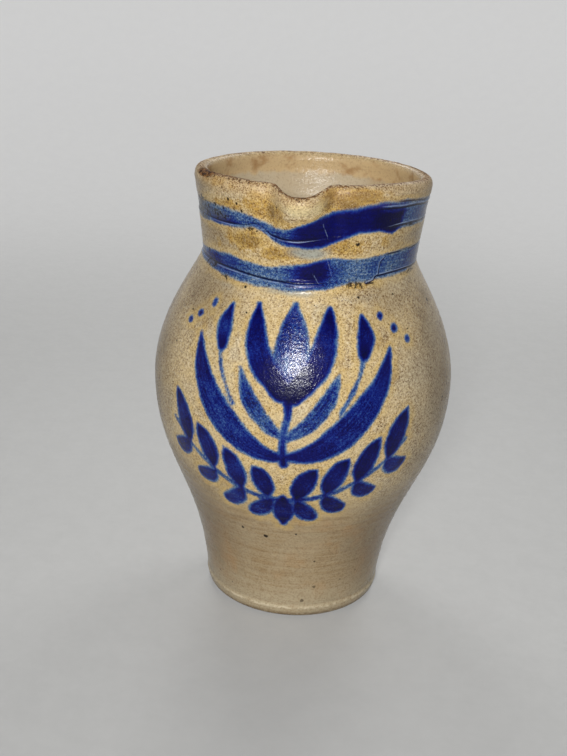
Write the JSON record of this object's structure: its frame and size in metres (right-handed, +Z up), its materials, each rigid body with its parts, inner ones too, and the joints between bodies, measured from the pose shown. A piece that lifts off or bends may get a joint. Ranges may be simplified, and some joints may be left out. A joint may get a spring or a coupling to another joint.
{
  "type": "stoneware pitcher",
  "caption": "Salt-glazed stoneware pitcher with a rounded belly, straight collar, pulled spout and strap handle, for pouring and serving drinks.",
  "frame": {"origin": "middle of the flat base, on the pot's axis, at the height of the surface it stands on", "axes": "+Z up along the pot's axis, -Y towards the spout, +Y towards the handle, +X to the right of someone facing the spout"},
  "size_m": [0.1802, 0.2096, 0.2683],
  "materials": {
    "body_glaze": "salt glaze, fine orange peel, grey tan with cobalt blue brushwork",
    "handle_glaze": "salt glaze, fine orange peel, grey tan",
    "upper_luting_glaze": "salt glaze, grey tan",
    "lower_luting_glaze": "salt glaze, grey tan"
  },
  "bodies": {
    "root": {"thrown_body": "body_glaze", "strap_handle": "handle_glaze", "upper_handle_luting": "upper_luting_glaze", "lower_handle_luting": "lower_luting_glaze"}
  },
  "joints": []
}
